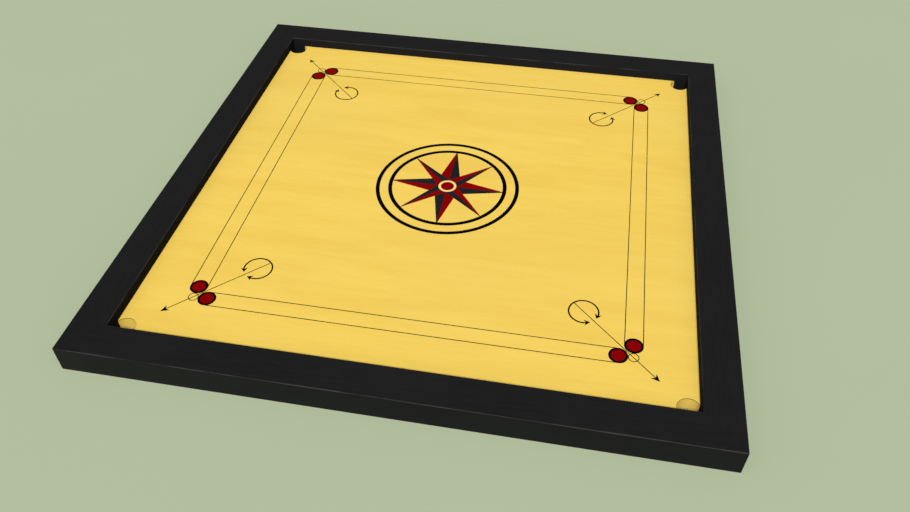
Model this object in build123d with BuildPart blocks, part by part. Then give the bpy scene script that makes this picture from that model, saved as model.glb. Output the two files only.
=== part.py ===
from build123d import *
import os
from math import cos, radians, sin, sqrt

# A 33 inch carrom board: four mitred rails around a thick plywood playing panel, with a
# pocket in each corner, battens, pocket blocks and nets underneath, and a screen-printed pattern.
# Origin at the middle of the underside, +Z up, front rail towards -Y, right rail towards +X.

# ---- Driving dimensions, millimetres --------------------------------------------------
playing_side = 740.0  # clear playing surface between the rails, 29 in
rail_width = 48.0
rail_height = 39.3
rail_reveal = 15.3  # how far the rail stands above the playing surface
arris = 1.0  # rounding of the rails' long edges and of the four outer corners
panel_thickness = 16.0
batten_thickness = 7.5
batten_width = 40.0
pocket_radius = 15.3
pocket_setback = 13.0  # pocket centre from the inner face of each rail beside it
block_thickness = 5.5  # the block under the panel that carries each pocket's hole on down
block_side = 50.0
block_chamfer = 18.0
block_play = 0.2  # between a block and the rails beside it

# ---- Joinery ---------------------------------------------------------------------------
rebate_width = 12.0  # how far the panel reaches under the rails
rebate_stop = 30.0  # the rebate ends this far from each inner corner
panel_play = 0.3  # gap round the panel inside the rebate
glue_line = 0.08  # between two rails at the mitre
spline_length = 44.0
spline_width = 20.0
spline_thickness = 4.0
across_offset = 185.0  # the two cross battens, each side of the middle
batten_play = 0.6
screw_radius = 1.75
screw_head_radius = 3.4
screw_head_depth = 2.0
screw_play = 0.15  # round a screw in its hole
panel_screw_length = 25.0
batten_screw_length = 20.0
panel_screw_pitch = 84.0
panel_screws_per_side = 8
block_screw_circle = 28.5
block_screw_turns = (-27, 27)  # degrees either side of the line to the board's middle
recess_width = 0.9
recess_length = 3.8
recess_depth = 1.2

# ---- Pocket nets -----------------------------------------------------------------------
net_thickness = 0.8
net_gather = 17.6  # outside radius of the bag, just larger than the pocket
net_hem = 21.5  # outside radius of the hem that is tacked under the block
net_floor = 0.5  # the bag's lowest point above the surface that the board rests on
net_play = 0.2  # between the bag and the rails beside it
tack_head_radius = 1.7
tack_head_height = 0.8
tack_shank_radius = 0.6
tack_shank_length = 6.0
tack_play = 0.05
tack_turns = (-72, -36, 0, 36, 72)

# ---- Printed pattern -------------------------------------------------------------------
ink = 0.15  # thickness of a printed layer
outer_ring = (104.6, 110.5)
inner_ring = (85.4, 91.4)
star_reach = 89.2  # the inner ring cuts the very tips short
wide_shoulder = 24.0
thin_shoulder = 15.4
cream_radius = 13.9
centre_radius = 10.1
base_line_inner = 279.0
base_line_outer = 302.6
base_line_width = 1.1
base_circle_end = 271.8  # how far along its side each base circle's centre is
base_circle_radius = 12.4
base_disc_radius = 9.2
arrow_tail = 298.2  # distances along the diagonal, from the board's middle
arrow_tip = 457.1
arrow_width = 1.05
head_length = 10.8
head_notch = 7.3
head_half_width = 5.2
small_circle_at = 411.5
small_circle_radius = 6.5
loop_at = 317.4
loop_radius = 19.7
loop_width = 2.1
loop_end = 29.0  # degrees from the diagonal where the loop's line stops
loop_tip = 15.5  # degrees from the diagonal where its arrowheads' tips are
loop_heading = 60.0  # degrees from the diagonal that its arrowheads turn back through
loop_head_length = 8.4
loop_head_notch = 5.4
loop_head_half_width = 4.9

# ---- Worked out from them --------------------------------------------------------------
half_play = playing_side / 2
half_outer = half_play + rail_width
surface = rail_height - rail_reveal
panel_bottom = surface - panel_thickness
batten_bottom = panel_bottom - batten_thickness
block_bottom = panel_bottom - block_thickness
block_middle = half_play - block_play - block_side / 2
rebate_half = half_play - rebate_stop
ledge_middle = half_play + rebate_width / 2
pocket_at = half_play - pocket_setback
mitre_middle = half_play + rail_width / 2
batten_length = 2 * (half_play + rebate_width - batten_play)
tack_circle = (net_gather + net_hem) / 2
base_line_middle = (base_line_inner + base_line_outer) / 2

upwards = (Align.CENTER, Align.CENTER, Align.MIN)
downwards = (Align.CENTER, Align.CENTER, Align.MAX)
corners = {
    "front_left": (-1, -1),
    "front_right": (1, -1),
    "back_right": (1, 1),
    "back_left": (-1, 1),
}
sides = {"front": 0, "right": 90, "back": 180, "left": 270}
panel_screw_steps = [
    (i - (panel_screws_per_side - 1) / 2) * panel_screw_pitch
    for i in range(panel_screws_per_side)
]
along_screw_steps = (-345, -275, -90, 0, 90, 275, 345)
across_screw_steps = (-330, -210, -90, 90, 210, 330)


def save(part, name):
    """Labels a finished piece and writes its file."""
    part.label = name
    export_step(part, f"parts/{name}.step")


def turned(degrees, height=0.0):
    """The level plane at a height, turned so that its -Y side faces one of the rails."""
    return Plane.XY.offset(height).rotated((0, 0, degrees))


def on_diagonal(sx, sy, distance, height):
    """A level plane on a corner's diagonal, with its X axis pointing out to that corner."""
    step = distance / sqrt(2)
    return Plane(origin=(sx * step, sy * step, height), x_dir=(sx, sy, 0), z_dir=(0, 0, 1))


# ---- Screws ----------------------------------------------------------------------------
def build_screw_form(length, play=0.0):
    """A countersunk screw's outside, standing on its head at the origin with its point up."""
    head = screw_head_radius + play
    shank = screw_radius + play
    with BuildPart() as form:
        with BuildSketch(Plane.XZ):
            with BuildLine():
                Polyline(
                    (0, 0),
                    (head, 0),
                    (shank, screw_head_depth + play),
                    (shank, length - 2 * screw_radius + play),
                    (0, length + play),
                    close=True,
                )
            make_face()
        revolve(axis=Axis.Z)
    return form.part


def build_screw(length):
    """The screw itself, with a cross recess in its head."""
    with BuildPart() as screw:
        add(build_screw_form(length))
        with BuildSketch():
            Rectangle(recess_length, recess_width)
            Rectangle(recess_width, recess_length)
        extrude(amount=recess_depth, mode=Mode.SUBTRACT)
    return screw.part


panel_screw_places = [
    turned(degrees, panel_bottom).from_local_coords(Vector(step, -ledge_middle, 0))
    for degrees in sides.values()
    for step in panel_screw_steps
]
batten_screw_places = [Vector(0, step, batten_bottom) for step in along_screw_steps]
batten_screw_places += [
    Vector(step, side * across_offset, batten_bottom)
    for side in (-1, 1)
    for step in across_screw_steps
]


def around_pockets(radius, turns, height):
    """Places round each pocket, at angles either side of the line to the board's middle."""
    return [
        on_diagonal(sx, sy, pocket_at * sqrt(2), height).from_local_coords(
            Vector(-radius * cos(radians(turn)), radius * sin(radians(turn)), 0)
        )
        for sx, sy in corners.values()
        for turn in turns
    ]


tack_places = around_pockets(tack_circle, tack_turns, block_bottom - net_thickness)
block_screw_places = around_pockets(block_screw_circle, block_screw_turns, block_bottom)

panel_screw = build_screw(panel_screw_length)
batten_screw = build_screw(batten_screw_length)
panel_seat = build_screw_form(panel_screw_length, screw_play)
batten_seat = build_screw_form(batten_screw_length, screw_play)

# ---- Rails: mitred, with a stopped rebate under the lip for the panel ------------------
def build_rail(degrees, ends):
    with BuildPart() as rail:
        with BuildSketch(turned(degrees)) as plan:
            with Locations((0, -mitre_middle)):
                Rectangle(2 * half_outer, rail_width)
            outer_corners = plan.vertices().group_by(Axis.Y)[0]
            fillet(outer_corners, radius=arris)
        extrude(amount=rail_height)
        fillet(rail.faces().sort_by(Axis.Z)[-1].edges(), radius=arris)
        for end in (-1, 1):
            middle = turned(degrees).from_local_coords(Vector(end * mitre_middle, -mitre_middle, 0))
            outwards = Vector(end, 1, 0).rotate(Axis.Z, degrees).normalized()
            mitre = Plane(origin=middle - outwards * glue_line / 2, z_dir=outwards)
            split(bisect_by=mitre, keep=Keep.BOTTOM)
        with BuildSketch(turned(degrees)):
            with Locations((0, -ledge_middle)):
                Rectangle(2 * rebate_half, rebate_width)
        extrude(amount=surface, mode=Mode.SUBTRACT)
        for sx, sy in ends:
            with BuildSketch(spline_plane(sx, sy)):
                Rectangle(spline_length, spline_width)
            extrude(amount=spline_thickness, mode=Mode.SUBTRACT)
        with Locations(*panel_screw_places):
            add(panel_seat, mode=Mode.SUBTRACT)
    return rail.part


def spline_plane(sx, sy):
    """The underside of the loose tongue that joins two rails across their mitre."""
    height = (rail_height - spline_thickness) / 2
    return on_diagonal(sx, sy, mitre_middle * sqrt(2), height)


rail_ends = {
    "front": ("front_left", "front_right"),
    "right": ("front_right", "back_right"),
    "back": ("back_right", "back_left"),
    "left": ("back_left", "front_left"),
}
for side, degrees in sides.items():
    rail_part = build_rail(degrees, [corners[end] for end in rail_ends[side]])
    save(rail_part, f"rail_{side}")

for corner, (sx, sy) in corners.items():
    with BuildPart() as spline:
        with BuildSketch(spline_plane(sx, sy)):
            Rectangle(spline_length, spline_width)
        extrude(amount=spline_thickness)
    save(spline.part, f"mitre_spline_{corner}")


# ---- Screws in their places ------------------------------------------------------------
with BuildPart() as panel_screws:
    with Locations(*panel_screw_places):
        add(panel_screw)
save(panel_screws.part, "panel_screws")

with BuildPart() as batten_screws:
    with Locations(*batten_screw_places):
        add(batten_screw)
save(batten_screws.part, "batten_screws")

with BuildPart() as block_screws:
    with Locations(*block_screw_places):
        add(batten_screw)
save(block_screws.part, "block_screws")


# ---- Playing panel: plywood, tongued into the rebates, open to the rails at each pocket -
def cut_pockets():
    """Cuts the pockets from a plan: round, and open to the corner between the rails."""
    with GridLocations(2 * pocket_at, 2 * pocket_at, 2, 2):
        Circle(pocket_radius, mode=Mode.SUBTRACT)
    beyond = pocket_at + pocket_setback / 2
    with GridLocations(2 * beyond, 2 * beyond, 2, 2):
        Rectangle(pocket_setback, pocket_setback, mode=Mode.SUBTRACT)


with BuildPart() as panel:
    with BuildSketch(Plane.XY.offset(panel_bottom)):
        tongue_reach = 2 * (half_play + rebate_width - panel_play)
        tongue_span = 2 * (rebate_half - panel_play)
        Rectangle(playing_side, playing_side)
        Rectangle(tongue_reach, tongue_span)
        Rectangle(tongue_span, tongue_reach)
        cut_pockets()
    extrude(amount=panel_thickness)
    with Locations(*panel_screw_places):
        add(panel_seat, mode=Mode.SUBTRACT)
    with Locations(*batten_screw_places, *block_screw_places):
        add(batten_seat, mode=Mode.SUBTRACT)
save(panel.part, "playing_panel")


# ---- Pocket blocks: screwed under the panel's corners, to carry the holes down to the nets
def cut_tack_holes():
    with Locations(*tack_places):
        Cylinder(
            tack_shank_radius + tack_play,
            tack_shank_length + tack_play,
            align=upwards,
            mode=Mode.SUBTRACT,
        )


for corner, (sx, sy) in corners.items():
    with BuildPart() as block:
        with BuildSketch(Plane.XY.offset(block_bottom)) as plan:
            with Locations((sx * block_middle, sy * block_middle)):
                Rectangle(block_side, block_side)
            chamfer(plan.vertices().sort_by_distance((0, 0, 0))[0], length=block_chamfer)
            cut_pockets()
        extrude(amount=block_thickness)
        with Locations(*block_screw_places):
            add(batten_seat, mode=Mode.SUBTRACT)
        cut_tack_holes()
    save(block.part, f"pocket_block_{corner}")


# ---- Battens: one runs front to back, two cross it, half lapped where they meet ---------
def build_batten(long_side, across, laps, lap_height):
    """One batten. Its laps are notches half its thickness deep, from lap_height upwards."""
    with BuildPart() as batten:
        with BuildSketch(Plane.XY.offset(batten_bottom)):
            with Locations((0, across)):
                if long_side == "x":
                    Rectangle(batten_length, batten_width)
                else:
                    Rectangle(batten_width, batten_length)
        extrude(amount=batten_thickness)
        with BuildSketch(Plane.XY.offset(lap_height)):
            with Locations(*[(0, place) for place in laps]):
                Rectangle(batten_width, batten_width)
        extrude(amount=batten_thickness / 2, mode=Mode.SUBTRACT)
        with Locations(*batten_screw_places):
            add(batten_seat, mode=Mode.SUBTRACT)
    return batten.part


lap_level = batten_bottom + batten_thickness / 2
save(
    build_batten("y", 0, (-across_offset, across_offset), batten_bottom),
    "batten_lengthwise",
)
save(build_batten("x", -across_offset, (-across_offset,), lap_level), "batten_cross_front")
save(build_batten("x", across_offset, (across_offset,), lap_level), "batten_cross_back")


# ---- Pocket nets: a shallow bag under each pocket, its hem tacked to the block ----------
def net_sketch(plane, radius, reach):
    """The plan of a net at one level: round towards the board's middle, square at the rails."""
    with BuildSketch(plane) as plan:
        Circle(radius)
        with Locations((reach / 2, reach / 2)):
            Rectangle(reach, reach)
        cut = 2 * radius
        with Locations((reach - cut / 2, reach - cut / 2)):
            Rectangle(cut, cut, mode=Mode.INTERSECT)
    return plan.sketch


def build_net(sx, sy):
    def level(height):
        return Plane(
            origin=(sx * pocket_at, sy * pocket_at, height),
            x_dir=(sx, 0, 0) if sx == sy else (0, sy, 0),
            z_dir=(0, 0, 1),
        )

    reach = pocket_setback - net_play
    hem_bottom = block_bottom - net_thickness
    with BuildPart() as net:
        bag = net_sketch(level(net_floor), net_gather, reach)
        extrude(bag, amount=hem_bottom - net_floor)
        hem = net_sketch(level(hem_bottom), net_hem, reach)
        extrude(hem, amount=net_thickness)
        hollow_floor = net_floor + net_thickness
        hollow = net_sketch(
            level(hollow_floor), net_gather - net_thickness, reach - net_thickness
        )
        extrude(hollow, amount=block_bottom - hollow_floor, mode=Mode.SUBTRACT)
        cut_tack_holes()
    return net.part


for corner, (sx, sy) in corners.items():
    save(build_net(sx, sy), f"pocket_net_{corner}")

with BuildPart() as tacks:
    with Locations(*tack_places):
        Cylinder(tack_head_radius, tack_head_height, align=downwards)
        Cylinder(tack_shank_radius, tack_shank_length, align=upwards)
save(tacks.part, "net_tacks")


# ---- Printed pattern: flat layers on the playing surface, none over another -------------
def print_plane():
    return Plane.XY.offset(surface)


for name, (inside, outside) in {
    "centre_ring_outer": outer_ring,
    "centre_ring_inner": inner_ring,
    "centre_ring_cream": (centre_radius, cream_radius),
}.items():
    with BuildPart() as ring:
        with BuildSketch(print_plane()):
            Circle(outside)
            Circle(inside, mode=Mode.SUBTRACT)
        extrude(amount=ink)
    save(ring.part, name)

with BuildPart() as centre_disc:
    with BuildSketch(print_plane()):
        Circle(centre_radius)
    extrude(amount=ink)
save(centre_disc.part, "centre_disc_red")


def half_blade(shoulder, side, first):
    """Four of the star's half blades; side is 1 for the half that is anticlockwise of its tip."""
    with PolarLocations(0, 4, start_angle=first):
        shoulder_at = (shoulder * cos(radians(45)), side * shoulder * sin(radians(45)))
        Polygon((0, 0), (star_reach, 0), shoulder_at, align=None)


def star_layer(side):
    """Every half blade of one colour; the four thin blades lie over the four wide ones."""
    with BuildPart() as layer:
        with BuildSketch(print_plane()):
            half_blade(wide_shoulder, side, 0)
            with PolarLocations(0, 4, start_angle=45):
                Polygon(
                    (0, 0),
                    (thin_shoulder * cos(radians(45)), thin_shoulder * sin(radians(45))),
                    (star_reach, 0),
                    (thin_shoulder * cos(radians(45)), -thin_shoulder * sin(radians(45))),
                    align=None,
                    mode=Mode.SUBTRACT,
                )
            half_blade(thin_shoulder, side, 45)
            Circle(cream_radius, mode=Mode.SUBTRACT)
            Circle(inner_ring[0], mode=Mode.INTERSECT)
        extrude(amount=ink)
    return layer.part


save(star_layer(1), "star_red_halves")
save(star_layer(-1), "star_dark_halves")

with BuildPart() as base_lines:
    for degrees in sides.values():
        with BuildSketch(turned(degrees, surface)):
            with Locations((0, -base_line_inner), (0, -base_line_outer)):
                Rectangle(2 * base_circle_end, base_line_width)
            with Locations((-base_circle_end, -base_line_middle), (base_circle_end, -base_line_middle)):
                Circle(base_circle_radius)
                Circle(base_disc_radius, mode=Mode.SUBTRACT)
        extrude(amount=ink)
save(base_lines.part, "base_lines_black")

with BuildPart() as base_discs:
    for degrees in sides.values():
        with BuildSketch(turned(degrees, surface)):
            with Locations((-base_circle_end, -base_line_middle), (base_circle_end, -base_line_middle)):
                Circle(base_disc_radius)
        extrude(amount=ink)
save(base_discs.part, "base_discs_red")


def arrowhead(tip, heading, length, notch, half_width):
    """A swallow-tailed arrowhead with its tip at a point, pointing along heading degrees."""
    forward = Vector(cos(radians(heading)), sin(radians(heading)))
    aside = Vector(-forward.Y, forward.X)
    tip = Vector(*tip)
    Polygon(
        tip,
        tip - forward * length + aside * half_width,
        tip - forward * notch,
        tip - forward * length - aside * half_width,
        align=None,
    )


def ring_line(radius, width):
    Circle(radius + width / 2)
    Circle(radius - width / 2, mode=Mode.SUBTRACT)


for corner, (sx, sy) in corners.items():
    with BuildPart() as arrow:
        # The loop is a ring round its own centre, open towards the pocket.
        with BuildSketch(on_diagonal(sx, sy, loop_at, surface)):
            ring_line(loop_radius, loop_width)
            reach = 2 * loop_radius
            opening = (reach * cos(radians(loop_end)), reach * sin(radians(loop_end)))
            Polygon(
                (0, 0),
                (opening[0], -opening[1]),
                (opening[0], opening[1]),
                align=None,
                mode=Mode.SUBTRACT,
            )
            for way in (1, -1):
                tip = (
                    loop_radius * cos(radians(loop_tip)),
                    way * loop_radius * sin(radians(loop_tip)),
                )
                heading = -way * loop_heading
                arrowhead(tip, heading, loop_head_length, loop_head_notch, loop_head_half_width)
        extrude(amount=ink)
        # The straight arrow runs from the loop, between two base circles, towards the pocket.
        with BuildSketch(on_diagonal(sx, sy, 0, surface)):
            line_end = arrow_tip - head_notch + arrow_width
            with Locations(((arrow_tail + line_end) / 2, 0)):
                Rectangle(line_end - arrow_tail, arrow_width)
            arrowhead((arrow_tip, 0), 0, head_length, head_notch, head_half_width)
        extrude(amount=ink)
        # The small circle runs behind the two base circles.
        with BuildSketch(on_diagonal(sx, sy, 0, surface)):
            with Locations((small_circle_at, 0)):
                ring_line(small_circle_radius, arrow_width)
            along = (base_circle_end + base_line_middle) / sqrt(2)
            aside = (base_line_middle - base_circle_end) / sqrt(2)
            with Locations((along, aside), (along, -aside)):
                Circle(base_circle_radius, mode=Mode.SUBTRACT)
        extrude(amount=ink)
    save(arrow.part, f"corner_arrow_{corner}")
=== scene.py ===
from math import cos, pi, radians, sin

import bmesh
import bpy
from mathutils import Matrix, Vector, noise


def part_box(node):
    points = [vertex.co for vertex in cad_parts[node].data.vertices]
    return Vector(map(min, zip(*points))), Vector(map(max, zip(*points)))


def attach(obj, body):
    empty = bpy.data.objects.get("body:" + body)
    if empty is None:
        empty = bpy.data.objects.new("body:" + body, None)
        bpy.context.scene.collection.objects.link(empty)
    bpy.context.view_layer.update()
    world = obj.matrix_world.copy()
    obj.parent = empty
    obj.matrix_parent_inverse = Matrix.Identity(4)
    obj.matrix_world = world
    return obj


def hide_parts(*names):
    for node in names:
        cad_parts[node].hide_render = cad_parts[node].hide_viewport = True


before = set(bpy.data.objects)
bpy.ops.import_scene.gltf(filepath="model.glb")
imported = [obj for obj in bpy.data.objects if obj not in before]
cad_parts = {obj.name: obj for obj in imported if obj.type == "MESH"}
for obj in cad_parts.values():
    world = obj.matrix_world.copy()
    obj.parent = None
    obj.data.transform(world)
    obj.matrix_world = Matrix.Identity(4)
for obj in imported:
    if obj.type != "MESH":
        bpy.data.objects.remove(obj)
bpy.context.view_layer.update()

MM = 0.001
HAIR = 0.05 * MM  # near enough to a face to be part of it

# ---- The frame's own measures, in metres --------------------------------------------------
rail_low, rail_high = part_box("rail_front")
panel_low, panel_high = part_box("playing_panel")
OUTER = -rail_low.y  # half the board's outside
INNER = -rail_high.y  # half the playing surface
TOP = rail_high.z
SURFACE = panel_high.z
UNDERSIDE = panel_low.z

# ---- Sizes that the frame's boxes don't give ----------------------------------------------
POCKET_RADIUS = 15.3 * MM
POCKET_SETBACK = 13 * MM  # from a pocket's middle to each of its rails
POCKET_AT = INNER - POCKET_SETBACK
POCKET_RIM = 1.2 * MM  # how deep the brown eased rim of a pocket goes
BORE_SLACK = 0.08 * MM  # a point this close to the pocket's wall is on it
INSIDE_SLACK = 0.3 * MM  # and one this close to the playing surface's edge is on a rail's inner face
WEAR_NARROW = 0.5 * MM  # how far rubbed paint reaches from an arris, at least
WEAR_WIDE = 1.7 * MM  # and at most
PLIES = 11

# ---- Colours, as they look on a screen ---------------------------------------------------
RAIL_BLACK = (27, 27, 28)
# the sides' black is painted shade, darker than the tops
RAIL_SIDE_PAINTED_SHADE = (22, 22, 24)
RAIL_INSIDE = (27, 27, 29)
RAIL_WORN = (62, 60, 58)
PANEL_YELLOW = (255, 219, 102)
PANEL_SHADE = (245, 205, 88)
PANEL_FLECK = (206, 160, 62)
PANEL_CLOUD = (246, 212, 104)
PANEL_RIM = (150, 112, 40)
# the pocket walls' yellows are painted paler than the face: painted light in the shade inside the
# pockets
PLY_PALE_PAINTED_LIGHT = (255, 226, 114)
PLY_BAND_PAINTED_LIGHT = (255, 218, 102)
PLY_FIBRE_PAINTED_LIGHT = (246, 204, 90)
BIRCH = (222, 190, 138)
BIRCH_DARK = (196, 158, 104)
BIRCH_FIBRE = (168, 130, 84)
PINE = (214, 176, 118)
PINE_DARK = (170, 120, 66)
HARDWOOD = (150, 108, 66)
BLOCK_PALE = (220, 184, 130)
BLOCK_DARK = (182, 138, 84)
COTTON = (232, 224, 200)
COTTON_GRIME = (202, 186, 150)
ZINC = (196, 192, 180)
BRASS = (196, 162, 84)
INK_BLACK = (5, 4, 4)
INK_RED = (134, 0, 0)
INK_CHARCOAL = (30, 34, 37)
INK_CREAM = (250, 222, 138)
FLOOR_SAGE = (179, 190, 158)


# ---- Node helpers ------------------------------------------------------------------------
def linear(rgb):
    """A screen colour, three bytes, as the linear colour that a shader socket takes."""
    steps = [v / 255 for v in rgb]
    return (*[v / 12.92 if v <= 0.04045 else ((v + 0.055) / 1.055) ** 2.4 for v in steps], 1.0)


def shifted(rgb, step):
    """A screen colour made lighter by step, or darker where step is below 0."""
    return [min(max(v + step, 0), 255) for v in rgb]


def dimmed(rgb, share):
    """A screen colour cut down to a share of itself."""
    return [v * share for v in rgb]


def add_node(tree, kind, inputs=None, **settings):
    """A shader node; each of its inputs is either linked to another node's output or set."""
    node = tree.nodes.new("ShaderNode" + kind)
    for key, value in settings.items():
        setattr(node, key, value)
    for key, value in (inputs or {}).items():
        if isinstance(value, bpy.types.NodeSocket):
            tree.links.new(value, node.inputs[key])
        else:
            node.inputs[key].default_value = value
    return node


def calc(tree, operation, a, b=0.0):
    return add_node(tree, "Math", {0: a, 1: b}, operation=operation).outputs[0]


def blend_colour(tree, share, a, b):
    """a where share is 0, b where it is 1."""
    return add_node(tree, "Mix", {0: share, 6: a, 7: b}, data_type="RGBA").outputs[2]


def fade(tree, value, low, high, to_low=0.0, to_high=1.0):
    """value's range from low to high, smoothed to run from to_low to to_high."""
    inputs = {"Value": value, 1: low, 2: high, 3: to_low, 4: to_high}
    node = add_node(tree, "MapRange", inputs, interpolation_type="SMOOTHSTEP")
    return node.outputs[0]


def place(tree, scale=(1, 1, 1), offset=(0, 0, 0)):
    """Points on the object in metres, stretched by scale."""
    here = add_node(tree, "TexCoord").outputs["Object"]
    inputs = {"Vector": here, "Location": offset, "Scale": scale}
    return add_node(tree, "Mapping", inputs).outputs[0]


def speckle(tree, vector, scale, detail=3.0, roughness=0.55, distortion=0.0):
    """Noise between 0 and 1 about the points that vector gives."""
    inputs = {
        "Vector": vector,
        "Scale": scale,
        "Detail": detail,
        "Roughness": roughness,
        "Distortion": distortion,
    }
    return add_node(tree, "TexNoise", inputs).outputs["Fac"]


def bumped(tree, height, strength, distance):
    """The surface's normal, tilted by a relief that is distance deep."""
    inputs = {"Height": height, "Strength": strength, "Distance": distance}
    return add_node(tree, "Bump", inputs).outputs[0]


def start_material(name):
    material = bpy.data.materials.new(name)
    material.use_nodes = True
    material.node_tree.nodes.clear()
    return material, material.node_tree


def finish_material(material, tree, inputs):
    shader = add_node(tree, "BsdfPrincipled", inputs)
    output = add_node(tree, "OutputMaterial")
    tree.links.new(shader.outputs[0], output.inputs[0])
    return material


def along_stretch(along, ratio):
    """A scale that draws a pattern out along x, y or z by ratio."""
    return tuple(1 / ratio if axis == along else 1 for axis in "xyz")


# ---- Materials ----------------------------------------------------------------------------
def lacquer_scuffs(tree):
    """Swirls where coins and cloths have rubbed the lacquer; they run on from the wood to the ink."""
    return speckle(tree, place(tree, (1, 1, 1), (0.2, 0.4, 0)), 60, 6, 0.7, 1.5)


def face_fibre(tree):
    """The face veneer's fine fibre, which also shows through the ink."""
    return speckle(tree, place(tree, along_stretch("x", 40)), 900, 4, 0.6)


def rail_material(along):
    """Satin black paint over close-grained wood, rubbed a little at the arrises.

    The sides are painted a shade deeper than the tops, as painted shade, and the inner faces are matt:
    nothing polishes them, as hands and cloths do the outside.
    """
    material, tree = start_material(f"rail_paint_{along}")
    stretched = place(tree, along_stretch(along, 22))
    grain = speckle(tree, stretched, 620, 5, 0.6)
    brush = speckle(tree, place(tree, along_stretch(along, 60)), 1500, 2, 0.5)
    patches = speckle(tree, place(tree), 9, 4, 0.6)
    smears = speckle(tree, place(tree, along_stretch(along, 3)), 45, 5, 0.65)

    here = add_node(tree, "SeparateXYZ", {0: place(tree)})
    across = calc(
        tree,
        "MAXIMUM",
        calc(tree, "ABSOLUTE", here.outputs[0]),
        calc(tree, "ABSOLUTE", here.outputs[1]),
    )
    below_top = calc(tree, "SUBTRACT", TOP, here.outputs[2])
    from_outer = calc(tree, "ADD", calc(tree, "SUBTRACT", OUTER, across), below_top)
    from_inner = calc(tree, "ADD", calc(tree, "SUBTRACT", across, INNER), below_top)
    from_foot = calc(tree, "ADD", calc(tree, "SUBTRACT", OUTER, across), here.outputs[2])
    from_arris = calc(tree, "MINIMUM", calc(tree, "MINIMUM", from_outer, from_inner), from_foot)
    reach = fade(tree, smears, 0.3, 0.75, WEAR_NARROW, WEAR_WIDE)
    worn = calc(tree, "SUBTRACT", 1.0, fade(tree, calc(tree, "DIVIDE", from_arris, reach), 0.5, 1.0))
    worn = calc(tree, "MULTIPLY", worn, fade(tree, brush, 0.3, 0.6, 0.35, 0.9))

    black = blend_colour(
        tree, fade(tree, grain, 0.35, 0.7), linear(RAIL_BLACK), linear(shifted(RAIL_BLACK, 5))
    )
    black = blend_colour(
        tree, fade(tree, patches, 0.4, 0.75, 0, 0.5), black, linear(shifted(RAIL_BLACK, 6))
    )
    # The top's colour gives way to the side's painted shade over the rounded arris.
    side_painted_shade = fade(tree, below_top, 0.6 * MM, 1.2 * MM)
    black = blend_colour(tree, side_painted_shade, black, linear(RAIL_SIDE_PAINTED_SHADE))
    inside = calc(tree, "LESS_THAN", across, INNER + INSIDE_SLACK)
    black = blend_colour(tree, inside, black, linear(RAIL_INSIDE))
    colour = blend_colour(tree, worn, black, linear(RAIL_WORN))
    sheen = calc(
        tree,
        "ADD",
        fade(tree, patches, 0.3, 0.7, 0.4, 0.5),
        fade(tree, smears, 0.35, 0.75, 0.0, 0.1),
    )
    height = calc(tree, "ADD", grain, calc(tree, "MULTIPLY", brush, 0.4))
    return finish_material(
        material,
        tree,
        {
            "Base Color": colour,
            "Roughness": calc(tree, "MAXIMUM", sheen, inside),
            "Normal": bumped(tree, height, 0.35, 0.12 * MM),
            "IOR": 1.16,
        },
    )


def panel_material():
    """Yellow lacquered face, brown eased pocket rims, banded ply edges painted paler as painted light,
    and a bare underside.
    """
    material, tree = start_material("panel_lacquer")
    figure = speckle(tree, place(tree, along_stretch("x", 7)), 26, 5, 0.62, 0.35)
    fibre = face_fibre(tree)
    flecks = speckle(tree, place(tree, along_stretch("x", 9), (0.3, 0.1, 0)), 520, 3, 0.7)
    cloud = speckle(tree, place(tree), 3.2, 3, 0.5)
    height = add_node(tree, "SeparateXYZ", {0: place(tree)}).outputs[2]

    face = blend_colour(
        tree,
        fade(tree, figure, 0.3, 0.72, 0.0, 0.75),
        linear(PANEL_YELLOW),
        linear(PANEL_SHADE),
    )
    fine = fade(tree, fibre, 0.3, 0.75, 0.0, 0.3)
    face = blend_colour(tree, fine, face, linear(shifted(PANEL_SHADE, -14)))
    face = blend_colour(
        tree, fade(tree, flecks, 0.66, 0.8, 0.0, 0.22), face, linear(PANEL_FLECK)
    )
    face = blend_colour(
        tree, fade(tree, cloud, 0.35, 0.7, 0.0, 0.35), face, linear(PANEL_CLOUD)
    )

    # The plies, alternately long grain and end grain, show in the pocket walls; their colours are
    # painted paler than the face, as painted light in the shaded pockets.
    ply = (SURFACE - UNDERSIDE) / PLIES
    turn = calc(tree, "MULTIPLY", calc(tree, "SUBTRACT", height, UNDERSIDE), pi / ply)
    band = fade(tree, calc(tree, "SINE", turn), -0.25, 0.25)
    ply_edge_painted_light = blend_colour(tree, band, linear(PLY_BAND_PAINTED_LIGHT), linear(PLY_PALE_PAINTED_LIGHT))
    ply_edge_painted_light = blend_colour(tree, fade(tree, fibre, 0.3, 0.7, 0, 0.35), ply_edge_painted_light, linear(PLY_FIBRE_PAINTED_LIGHT))

    bare = blend_colour(
        tree, fade(tree, figure, 0.35, 0.65), linear(BIRCH), linear(BIRCH_DARK)
    )
    bare = blend_colour(tree, fade(tree, fibre, 0.4, 0.7, 0, 0.4), bare, linear(BIRCH_FIBRE))

    below_face = calc(tree, "LESS_THAN", height, SURFACE - HAIR)
    below_rim = calc(tree, "LESS_THAN", height, SURFACE - POCKET_RIM)
    at_bottom = calc(tree, "LESS_THAN", height, UNDERSIDE + HAIR)
    colour = blend_colour(tree, below_face, face, linear(PANEL_RIM))
    colour = blend_colour(tree, below_rim, colour, ply_edge_painted_light)
    colour = blend_colour(tree, at_bottom, colour, bare)

    gloss = fade(tree, lacquer_scuffs(tree), 0.35, 0.7, 0.26, 0.36)
    rough = calc(tree, "MAXIMUM", gloss, calc(tree, "MULTIPLY", below_rim, 0.55))
    relief = calc(tree, "ADD", fibre, calc(tree, "MULTIPLY", figure, 0.8))
    return finish_material(
        material,
        tree,
        {
            "Base Color": colour,
            "Roughness": rough,
            "Normal": bumped(tree, relief, 0.12, 0.05 * MM),
            "IOR": 1.36,
        },
    )


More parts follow.
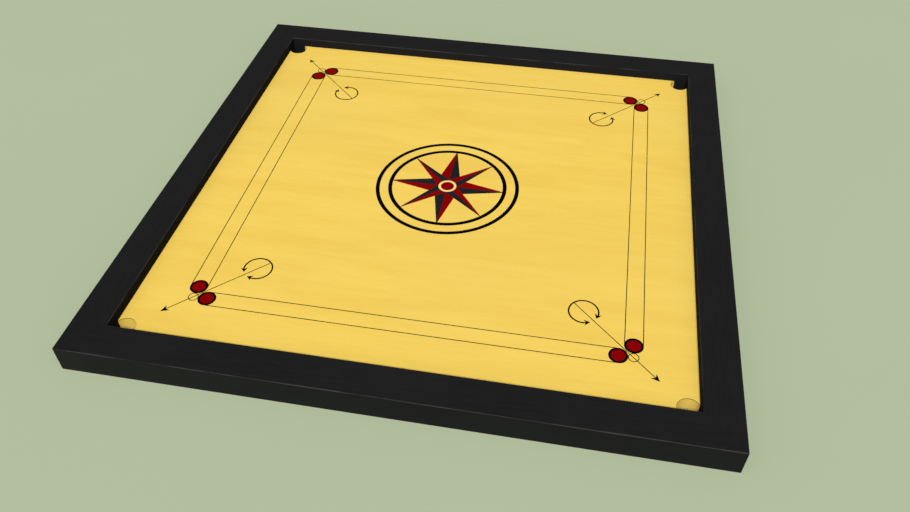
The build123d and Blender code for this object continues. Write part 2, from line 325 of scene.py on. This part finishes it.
def ink_material(name, rgb, lift=8):
    """Screen-printed ink under the same lacquer: slightly uneven cover, and the wood's fibre in it."""
    material, tree = start_material(name)
    cover = speckle(tree, place(tree), 420, 4, 0.7)
    fibre = face_fibre(tree)
    cloud = speckle(tree, place(tree), 18, 3, 0.5)
    thin_ink = linear(shifted(rgb, lift))
    thick_ink = linear(shifted(rgb, -lift))
    colour = blend_colour(tree, fade(tree, cover, 0.35, 0.75, 0, 0.8), linear(rgb), thin_ink)
    colour = blend_colour(tree, fade(tree, cloud, 0.35, 0.7, 0, 0.5), colour, thick_ink)
    return finish_material(
        material,
        tree,
        {
            "Base Color": colour,
            "Roughness": fade(tree, lacquer_scuffs(tree), 0.35, 0.7, 0.28, 0.4),
            "Normal": bumped(tree, fibre, 0.12, 0.05 * MM),
            "IOR": 1.1,
        },
    )


def planed_wood(tree, along, pale, dark):
    """Growth rings drawn out along the piece, fine fibre and a few flecks: colour, fibre, relief."""
    rings = speckle(tree, place(tree, along_stretch(along, 14)), 95, 3, 0.5, 0.6)
    fibre = speckle(tree, place(tree, along_stretch(along, 45)), 1300, 4, 0.6)
    flecks = speckle(tree, place(tree, along_stretch(along, 6), (0.7, 0.2, 0.4)), 380, 3, 0.7)
    stripe = calc(tree, "SINE", calc(tree, "MULTIPLY", rings, 42.0))
    colour = blend_colour(tree, fade(tree, stripe, -0.6, 1.0, 0, 0.8), linear(pale), linear(dark))
    colour = blend_colour(
        tree, fade(tree, fibre, 0.35, 0.7, 0, 0.35), colour, linear(dimmed(dark, 0.82))
    )
    colour = blend_colour(
        tree, fade(tree, flecks, 0.68, 0.8, 0, 0.4), colour, linear(dimmed(dark, 0.7))
    )
    return colour, fibre, calc(tree, "ADD", fibre, calc(tree, "MULTIPLY", stripe, 0.25))


def wood_material(name, along, pale, dark):
    """Planed bare wood."""
    material, tree = start_material(name)
    colour, fibre, relief = planed_wood(tree, along, pale, dark)
    return finish_material(
        material,
        tree,
        {
            "Base Color": colour,
            "Roughness": fade(tree, fibre, 0.3, 0.7, 0.55, 0.72),
            "Normal": bumped(tree, relief, 0.4, 0.12 * MM),
            "Specular IOR Level": 0.3,
        },
    )


def block_material():
    """Planed wood outside; the bore has the panel's yellow lacquer all the way down, painted paler
    than the face as painted light in the shaded pocket.
    """
    material, tree = start_material("block_wood")
    wood, fibre, relief = planed_wood(tree, "x", BLOCK_PALE, BLOCK_DARK)
    here = add_node(tree, "SeparateXYZ", {0: place(tree)})
    aside, ahead = (
        calc(tree, "SUBTRACT", calc(tree, "ABSOLUTE", here.outputs[axis]), POCKET_AT)
        for axis in (0, 1)
    )
    aside_squared = calc(tree, "MULTIPLY", aside, aside)
    ahead_squared = calc(tree, "MULTIPLY", ahead, ahead)
    from_middle = calc(tree, "SQRT", calc(tree, "ADD", aside_squared, ahead_squared))
    in_bore = calc(tree, "LESS_THAN", from_middle, POCKET_RADIUS + BORE_SLACK)
    # the bore's lacquer is painted paler than the face, as painted light in the shaded pocket
    lacquer = blend_colour(
        tree, fade(tree, fibre, 0.3, 0.7, 0, 0.5), linear(PLY_PALE_PAINTED_LIGHT), linear(PLY_BAND_PAINTED_LIGHT)
    )
    return finish_material(
        material,
        tree,
        {
            "Base Color": blend_colour(tree, in_bore, wood, lacquer),
            "Roughness": fade(tree, fibre, 0.3, 0.7, 0.5, 0.66),
            "Normal": bumped(tree, relief, 0.3, 0.1 * MM),
            "Specular IOR Level": 0.3,
        },
    )


def metal_material(name, rgb, rough_low, rough_high):
    """Plated metal with a brushed bloom and darker tarnish in patches."""
    material, tree = start_material(name)
    bloom = speckle(tree, place(tree), 900, 4, 0.6)
    tarnish = speckle(tree, place(tree), 260, 3, 0.6)
    colour = blend_colour(
        tree, fade(tree, tarnish, 0.4, 0.75, 0, 0.6), linear(rgb), linear(dimmed(rgb, 0.72))
    )
    return finish_material(
        material,
        tree,
        {
            "Base Color": colour,
            "Metallic": 1.0,
            "Roughness": fade(tree, bloom, 0.3, 0.7, rough_low, rough_high),
            "Normal": bumped(tree, bloom, 0.25, 0.03 * MM),
        },
    )


def string_material():
    """Twisted cotton: two plies wind round the string, with painted shade in the grooves between them,
    and the string has a soft fuzz.
    """
    material, tree = start_material("net_string")
    wound = add_node(tree, "SeparateXYZ", {0: add_node(tree, "UVMap", uv_map="wind").outputs[0]})
    turn = calc(tree, "ADD", wound.outputs[0], wound.outputs[1])
    ply = calc(tree, "SINE", calc(tree, "MULTIPLY", turn, 2 * pi))
    fuzz = speckle(tree, place(tree), 5200, 3, 0.7)
    grime = speckle(tree, place(tree), 70, 3, 0.6)
    # the grooves between the plies are painted darker: painted shade
    colour = blend_colour(
        tree, fade(tree, ply, -1.0, 0.4), linear(dimmed(COTTON, 0.8)), linear(COTTON)
    )
    colour = blend_colour(
        tree, fade(tree, grime, 0.4, 0.8, 0, 0.35), colour, linear(COTTON_GRIME)
    )
    relief = calc(tree, "ADD", ply, calc(tree, "MULTIPLY", fuzz, 0.8))
    return finish_material(
        material,
        tree,
        {
            "Base Color": colour,
            "Roughness": fade(tree, fuzz, 0.3, 0.7, 0.8, 0.95),
            "Normal": bumped(tree, relief, 0.6, 0.1 * MM),
            "Sheen Weight": 0.25,
            "Specular IOR Level": 0.2,
        },
    )


# ---- The CAD's own pieces ------------------------------------------------------------------
def paint_node(node, material):
    """The CAD node keeps its mesh and takes this material."""
    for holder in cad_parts[node].material_slots:
        holder.material = material


rail_along_x = rail_material("x")
rail_along_y = rail_material("y")
for side in ("front", "back"):
    paint_node(f"rail_{side}", rail_along_x)
for side in ("left", "right"):
    paint_node(f"rail_{side}", rail_along_y)
paint_node("playing_panel", panel_material())

black_ink = ink_material("ink_black", INK_BLACK, 6)
red_ink = ink_material("ink_red", INK_RED, 9)
for node in ("centre_ring_outer", "centre_ring_inner", "base_lines_black"):
    paint_node(node, black_ink)
for node in ("star_red_halves", "centre_disc_red", "base_discs_red"):
    paint_node(node, red_ink)
paint_node("star_dark_halves", ink_material("ink_charcoal", INK_CHARCOAL))
paint_node("centre_ring_cream", ink_material("ink_cream", INK_CREAM, 5))

CORNERS = {
    "front_left": (-1, -1),
    "front_right": (1, -1),
    "back_right": (1, 1),
    "back_left": (-1, 1),
}
spline_wood = wood_material("spline_wood", "x", HARDWOOD, dimmed(HARDWOOD, 0.8))
for corner in CORNERS:
    paint_node(f"corner_arrow_{corner}", black_ink)
    paint_node(f"mitre_spline_{corner}", spline_wood)

pine_along_y = wood_material("batten_pine_y", "y", PINE, PINE_DARK)
pine_along_x = wood_material("batten_pine_x", "x", PINE, PINE_DARK)
paint_node("batten_lengthwise", pine_along_y)
paint_node("batten_cross_front", pine_along_x)
paint_node("batten_cross_back", pine_along_x)

block_wood = block_material()
for corner in CORNERS:
    paint_node(f"pocket_block_{corner}", block_wood)

zinc = metal_material("screw_zinc", ZINC, 0.28, 0.42)
for screws in ("panel_screws", "batten_screws", "block_screws"):
    paint_node(screws, zinc)
paint_node("net_tacks", metal_material("tack_brass", BRASS, 0.25, 0.4))


# ---- Pocket nets ----------------------------------------------------------------------------
STRING_RADIUS = 0.38 * MM
STRING_SIDES = 6
STRING_STEPS = 48
STRINGS_EACH_WAY = 30
NET_TWIST = 0.95  # radians that a string turns round the pocket on its way to the middle
TWIST_LENGTH = 2.2 * MM
CAD_HEM_RADIUS = 21.5 * MM
HEM_REACH = 21.0 * MM  # from the pocket's middle to the strings of the hem
BAG_REACH = 16.9 * MM  # and to those of the bag's side
LONGEST_REACH = 21.2 * MM  # and no string strays farther than this
FLOOR_FALL = 0.6 * MM  # how far the floor still falls between the side and the middle
STRAY = 0.9 * MM  # how far the slack strings wander up and down
REACH_STRAY = 0.03  # and in and out, as a share of their reach
CORNER_SHARE = 1.4  # towards the board's corner the bag fills the square between the rails
SIDE_STEEPNESS = 2.2  # the bag narrows this much sooner than it falls
GATHER = 0.93  # how much of its reach a string has given up when it gets to the middle
KNOT = 0.45  # how much thicker a string is where it is knotted to another
LOOP_STEPS = 72
# How far down the bag things are, from 0 at the hem to 1 in the middle of its floor.
SIDE_END = 0.5
SHORT_END = 0.78  # where every other string stops, tied to the loop there
LOOPS = ((0.0, 1.5), (SIDE_END, 1.0), (SHORT_END, 1.0), (1.0, 1.4))  # and how much thicker each is


def net_reach(angle, round_reach, wall_reach):
    """How far the bag reaches from the pocket's middle: round, but flat where the rails are."""
    towards_corner = cos(angle) > 0 and sin(angle) > 0
    free_reach = CORNER_SHARE * wall_reach if towards_corner else round_reach
    wall_reaches = [wall_reach / part for part in (cos(angle), sin(angle)) if part > 0.05]
    return min([free_reach, *wall_reaches])


def string_tube(mesh, winding, path, radii):
    """A tube of string along a path, closed at both ends, wound with its own UVs."""
    rings, run = [], 0.0
    for i, point in enumerate(path):
        ahead = (path[min(i + 1, len(path) - 1)] - path[max(i - 1, 0)]).normalized()
        if i == 0:
            side = ahead.orthogonal().normalized()
        else:
            side = (side - ahead * side.dot(ahead)).normalized()
        other = ahead.cross(side)
        run += (point - path[i - 1]).length if i else 0.0
        turns = [2 * pi * k / STRING_SIDES for k in range(STRING_SIDES)]
        ring = [mesh.verts.new(point + (side * cos(t) + other * sin(t)) * radii[i]) for t in turns]
        rings.append((ring, run))
    for (ring_a, run_a), (ring_b, run_b) in zip(rings, rings[1:]):
        for k in range(STRING_SIDES):
            n = (k + 1) % STRING_SIDES
            face = mesh.faces.new((ring_a[k], ring_a[n], ring_b[n], ring_b[k]))
            face.smooth = True
            corners = ((k, run_a), (k + 1, run_a), (k + 1, run_b), (k, run_b))
            for loop, (step, length) in zip(face.loops, corners):
                loop[winding].uv = (step / STRING_SIDES, length / TWIST_LENGTH)
    mesh.faces.new(rings[0][0][::-1])
    mesh.faces.new(rings[-1][0])


def build_net(corner, sx, sy):
    """A crocheted string bag: two sets of strings cross down its side and gather under the pocket."""
    low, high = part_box(f"pocket_net_{corner}")
    outer_x, outer_y = (high.x if sx > 0 else low.x), (high.y if sy > 0 else low.y)
    # The node's box spans the hem's radius on one side and reaches the rails on the other.
    wall = (high.x - low.x) - CAD_HEM_RADIUS
    wall_reach = wall - STRING_RADIUS
    middle = Vector((outer_x - sx * wall, outer_y - sy * wall, 0))
    floor, ceiling = low.z + STRING_RADIUS * 1.2, high.z - STRING_RADIUS * 1.3
    seed = Vector((sx * 3.1, sy * 5.7, 0))  # gives each corner its own wander

    def point(angle, down):
        """down runs from 0 at the hem, over the bag's side, to 1 in the middle of its floor."""
        reach_hem = net_reach(angle, HEM_REACH, wall_reach)
        reach_bag = net_reach(angle, BAG_REACH, wall_reach)
        if down < SIDE_END:
            share = down / SIDE_END
            reach = reach_hem + (reach_bag - reach_hem) * min(1, share * SIDE_STEEPNESS)
            ease = share * share * (3 - 2 * share)
            height = ceiling + (floor + FLOOR_FALL - ceiling) * ease
        else:
            share = (down - SIDE_END) / (1 - SIDE_END)
            reach = reach_bag * (1 - GATHER * share)
            height = floor + FLOOR_FALL * (1 - share)
        wave = noise.noise(Vector((cos(angle) * 2, sin(angle) * 2, down * 3)) + seed)
        height = min(max(height + wave * STRAY * (down > 0.1), floor), ceiling)
        sway = noise.noise(Vector((cos(angle), sin(angle), down * 5)) - seed)
        reach = reach * (1 + REACH_STRAY * sway)
        reach = min(reach, net_reach(angle, LONGEST_REACH, wall_reach))
        return middle + Vector((sx * reach * cos(angle), sy * reach * sin(angle), height))

    mesh = bmesh.new()
    winding = mesh.loops.layers.uv.new("wind")
    for way in (1, -1):
        for i in range(STRINGS_EACH_WAY):
            start = 2 * pi * (i + 0.25 * way) / STRINGS_EACH_WAY
            end = 1.0 if i % 2 else SHORT_END
            path, radii = [], []
            for step in range(STRING_STEPS + 1):
                down = end * step / STRING_STEPS
                path.append(point(start + way * NET_TWIST * down, down))
                crossing = sin(NET_TWIST * down * STRINGS_EACH_WAY) ** 8
                radii.append(STRING_RADIUS * (1 + KNOT * crossing))
            string_tube(mesh, winding, path, radii)
    for down, thicker in LOOPS:
        loop_path = [point(2 * pi * i / LOOP_STEPS, down) for i in range(LOOP_STEPS + 1)]
        string_tube(mesh, winding, loop_path, [STRING_RADIUS * thicker] * (LOOP_STEPS + 1))
    bmesh.ops.recalc_face_normals(mesh, faces=mesh.faces)
    data = bpy.data.meshes.new(f"string_net_{corner}")
    mesh.to_mesh(data)
    mesh.free()
    net = bpy.data.objects.new(f"string_net_{corner}", data)
    bpy.context.scene.collection.objects.link(net)
    data.materials.append(net_string)
    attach(net, "root")
    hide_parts(f"pocket_net_{corner}")


net_string = string_material()
for corner, (sx, sy) in CORNERS.items():
    build_net(corner, sx, sy)


# ---- Floor, light and camera -----------------------------------------------------------------
def floor_material():
    material, tree = start_material("floor_sage")
    mottle = speckle(tree, place(tree), 2.5, 3, 0.5)
    colour = blend_colour(tree, mottle, linear(FLOOR_SAGE), linear(shifted(FLOOR_SAGE, 2)))
    inputs = {"Base Color": colour, "Roughness": 0.9, "Specular IOR Level": 0.1}
    return finish_material(material, tree, inputs)


FLOOR_HALF = 60.0
FLOOR_LEVEL = -0.1 * MM
floor_mesh = bpy.data.meshes.new("studio_floor")
floor_corners = [
    (x * FLOOR_HALF, y * FLOOR_HALF, FLOOR_LEVEL) for x, y in ((-1, -1), (1, -1), (1, 1), (-1, 1))
]
floor_mesh.from_pydata(floor_corners, [], [(0, 1, 2, 3)])
floor_mesh.materials.append(floor_material())
studio_floor = bpy.data.objects.new("studio_floor", floor_mesh)
bpy.context.scene.collection.objects.link(studio_floor)


# One soft sun comes from high over the front, so that the front rail's shade falls close to it and
# out of sight. The sky is dimmer on the far side, which the black rails mirror, and the backdrop
# has the floor's colour.
sun_data = bpy.data.lights.new("soft_key", "SUN")
sun_data.energy = 2.80
sun_data.angle = radians(10)
sun = bpy.data.objects.new("soft_key", sun_data)
bpy.context.scene.collection.objects.link(sun)
sun.rotation_euler = Vector((-0.03, 0.78, -1.0)).to_track_quat("-Z", "Y").to_euler()

SKY_NEAR = 0.50
SKY_FAR = 0.12
world = bpy.data.worlds.new("studio")
bpy.context.scene.world = world
world.use_nodes = True
sky = world.node_tree
sky.nodes.clear()
direction = add_node(sky, "SeparateXYZ", {0: add_node(sky, "TexCoord").outputs["Generated"]})
sky_level = fade(sky, direction.outputs[1], -0.7, 0.55, SKY_NEAR, SKY_FAR)
sky_light = add_node(sky, "Background", {"Color": (1.0, 1.0, 1.0, 1.0), "Strength": sky_level})
backdrop = add_node(sky, "Background", {"Color": linear(FLOOR_SAGE), "Strength": 1.0})
seen = add_node(sky, "LightPath").outputs["Is Camera Ray"]
sky_mix = add_node(sky, "MixShader", {0: seen, 1: sky_light.outputs[0], 2: backdrop.outputs[0]})
add_node(sky, "OutputWorld", {"Surface": sky_mix.outputs[0]})

camera_data = bpy.data.cameras.new("camera")
camera_data.sensor_width = 36.0
camera_data.lens = 32.137
camera_data.clip_start = 0.01
camera = bpy.data.objects.new("camera", camera_data)
bpy.context.scene.collection.objects.link(camera)
camera.location = (0.1867, -0.9615, TOP + 0.7772)
camera.rotation_euler = (radians(46.107), 0, radians(10.303))
bpy.context.scene.camera = camera
bpy.context.scene.view_settings.view_transform = "Standard"
